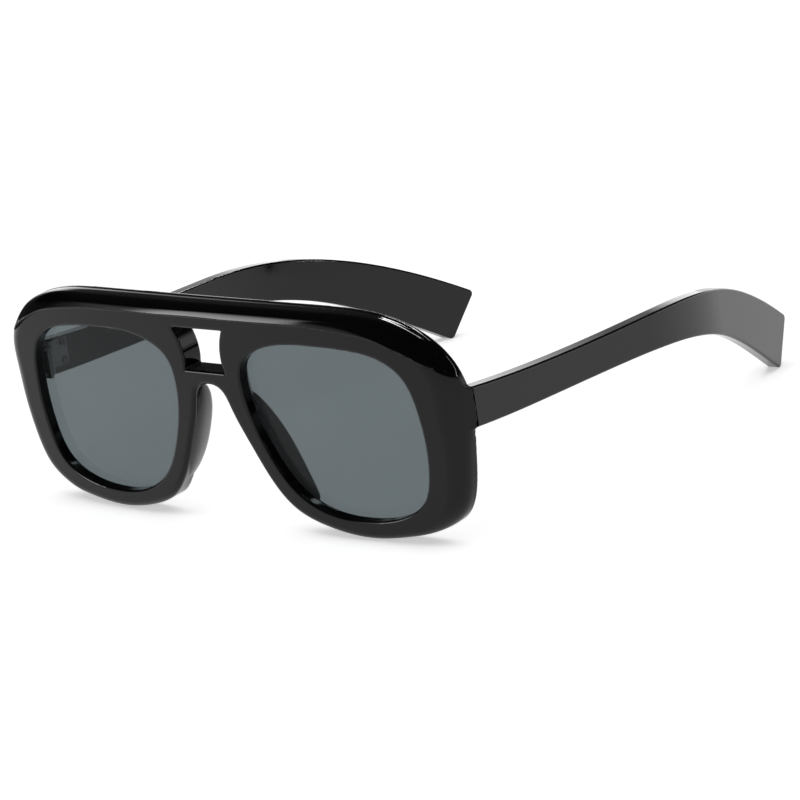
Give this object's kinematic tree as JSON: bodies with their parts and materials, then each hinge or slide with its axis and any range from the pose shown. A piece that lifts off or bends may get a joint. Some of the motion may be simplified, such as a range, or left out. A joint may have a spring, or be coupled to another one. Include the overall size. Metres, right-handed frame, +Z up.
{
  "type": "oversized sunglasses",
  "caption": "Oversized black sunglasses with a raised brow bar, a window in the bridge, dark grey lenses, bonded nose pads and temples that fold on screwed hinges.",
  "frame": {"origin": "on the surface that the open glasses rest on, under the middle of their box", "axes": "+X towards the wearer's left, -Y the way the wearer looks, +Y along the temples towards the ears, +Z up"},
  "size_m": [0.146, 0.1498, 0.0552],
  "materials": {
    "acetate": "polished",
    "pad_acetate": "satin",
    "lens": "polished",
    "hinge_metal": "satin",
    "screw_metal": "polished",
    "wire_metal": "plain"
  },
  "bodies": {
    "front": {"front_frame": "acetate", "lens_left": "lens", "lens_right": "lens", "nose_pad_left": "pad_acetate", "nose_pad_right": "pad_acetate", "front_hinge_left": "hinge_metal", "front_hinge_right": "hinge_metal", "hinge_screw_left": "screw_metal", "hinge_screw_right": "screw_metal", "front_hinge_fixings_left": "screw_metal", "front_hinge_fixings_right": "screw_metal"},
    "left_temple": {"temple_left": "acetate", "core_wire_left": "wire_metal", "temple_hinge_left": "hinge_metal", "temple_hinge_fixings_left": "screw_metal"},
    "right_temple": {"temple_right": "acetate", "core_wire_right": "wire_metal", "temple_hinge_right": "hinge_metal", "temple_hinge_fixings_right": "screw_metal"}
  },
  "joints": [
    {"name": "left_temple_fold", "type": "hinge", "parent": "front", "child": "left_temple", "pos_m": [0.0671, -0.06002, 0.03232], "axis": [0, 0, 1], "range_deg": [0, 83]},
    {"name": "right_temple_fold", "type": "hinge", "parent": "front", "child": "right_temple", "pos_m": [-0.0671, -0.06002, 0.03232], "axis": [0, 0, -1], "range_deg": [0, 76]}
  ]
}
